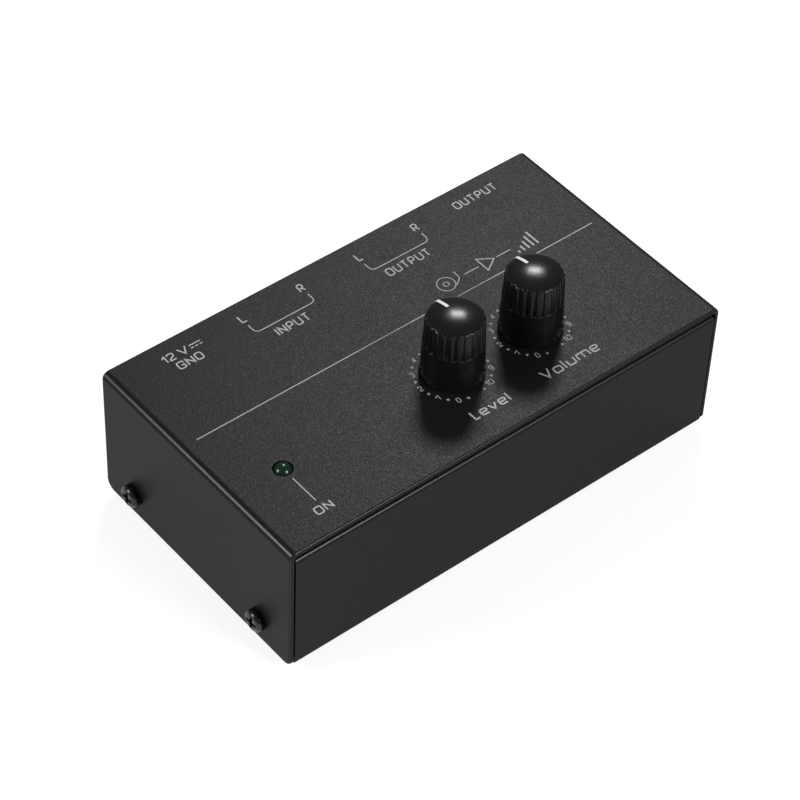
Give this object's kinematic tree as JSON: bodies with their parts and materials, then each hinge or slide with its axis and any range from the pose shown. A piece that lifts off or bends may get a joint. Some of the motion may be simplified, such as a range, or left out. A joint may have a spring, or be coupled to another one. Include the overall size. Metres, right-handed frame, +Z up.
{
  "type": "phono preamp",
  "caption": "Small folded-steel phono preamp box with tall fluted knobs and a power light on top, and phono, phone, power and ground sockets at the rear",
  "frame": {"origin": "on the resting plane, under the middle of the whole object with its rear sockets", "axes": "+X along the front towards the output side, +Y from the front wall to the rear wall, +Z up"},
  "size_m": [0.1398, 0.0874, 0.0621],
  "materials": {
    "powder_coat": "satin textured powder coat",
    "black_screw": "black zinc, semi-gloss",
    "zinc_steel": "bright zinc plate",
    "rubber": "matt",
    "knob_plastic": "satin moulded",
    "white_inlay": "satin",
    "aluminium": "turned",
    "die_cast_zinc": "die cast",
    "phenolic": "laminate",
    "tinned_pins": "tinned",
    "green_lens": "clear tinted epoxy",
    "nylon": "natural",
    "black_moulding": "moulded",
    "nickel": "bright nickel plate",
    "white_insulator": "moulded",
    "red_insulator": "moulded",
    "brass": "plain",
    "solder_mask": "solder mask on glass epoxy",
    "black_epoxy": "moulded epoxy",
    "capacitor_sleeve": "shrink sleeve",
    "film_capacitor": "moulded box",
    "resistor_lacquer": "lacquer"
  },
  "bodies": {
    "case": {"top_cover": "powder_coat", "base_tray": "powder_coat", "cover_screws": "black_screw", "board_standoffs": "zinc_steel", "board_screws": "zinc_steel", "ground_lug": "zinc_steel", "phone_jack_ring_spring": "zinc_steel", "phone_jack_tip_spring": "zinc_steel", "dc_jack_spring": "zinc_steel", "level_pot_can": "zinc_steel", "volume_pot_can": "zinc_steel", "rubber_feet": "rubber", "level_bushing": "die_cast_zinc", "volume_bushing": "die_cast_zinc", "level_pot_wafers": "phenolic", "volume_pot_wafers": "phenolic", "level_pot_pins": "tinned_pins", "volume_pot_pins": "tinned_pins", "led_leads": "tinned_pins", "power_led": "green_lens", "led_spacer": "nylon", "input_jack_housing": "black_moulding", "output_jack_housing": "black_moulding", "phone_jack_housing": "black_moulding", "dc_jack_housing": "black_moulding", "input_left_shell": "nickel", "input_left_insulator": "white_insulator", "input_left_contact": "brass", "input_right_shell": "nickel", "input_right_insulator": "red_insulator", "input_right_contact": "brass", "output_left_shell": "nickel", "output_left_insulator": "white_insulator", "output_left_contact": "brass", "output_right_shell": "nickel", "output_right_insulator": "red_insulator", "output_right_contact": "brass", "phone_jack_ferrule": "nickel", "phone_jack_washer": "nickel", "phone_jack_nut": "nickel", "dc_jack_pin": "nickel", "ground_stud": "nickel", "ground_nut": "nickel", "main_board": "solder_mask", "input_op_amp": "black_epoxy", "output_op_amp": "black_epoxy", "rectifier_diode": "black_epoxy", "voltage_regulator": "black_epoxy", "smoothing_capacitors": "capacitor_sleeve", "coupling_capacitors": "capacitor_sleeve", "film_capacitors": "film_capacitor", "resistors": "resistor_lacquer"},
    "level_control": {"level_knob": "knob_plastic", "level_pointer": "white_inlay", "level_shaft": "aluminium"},
    "volume_control": {"volume_knob": "knob_plastic", "volume_pointer": "white_inlay", "volume_shaft": "aluminium"},
    "ground_clamp": {"ground_washer": "nickel"},
    "ground_thumb_nut": {"ground_thumb_nut": "nickel"}
  },
  "joints": [
    {"name": "level_turn", "type": "hinge", "parent": "case", "child": "level_control", "pos_m": [0, -0.02045, 0.0421], "axis": [0, 0, 1], "range_deg": [-150, 150]},
    {"name": "volume_turn", "type": "hinge", "parent": "case", "child": "volume_control", "pos_m": [0.0251, -0.02045, 0.0421], "axis": [0, 0, 1], "range_deg": [-150, 150]},
    {"name": "ground_clamp_travel", "type": "slide", "parent": "case", "child": "ground_clamp", "axis": [0, 1, 0], "range_m": [0, 0.0035]},
    {"name": "ground_nut_turn", "type": "hinge", "parent": "ground_clamp", "child": "ground_thumb_nut", "pos_m": [-0.048, 0.0339, 0.0098], "axis": [0, 1, 0], "range_deg": [0, 1800]}
  ],
  "couplings": [
    {"joint": "ground_nut_turn", "follows": "ground_clamp_travel", "rad_per_m": 8975.9}
  ]
}
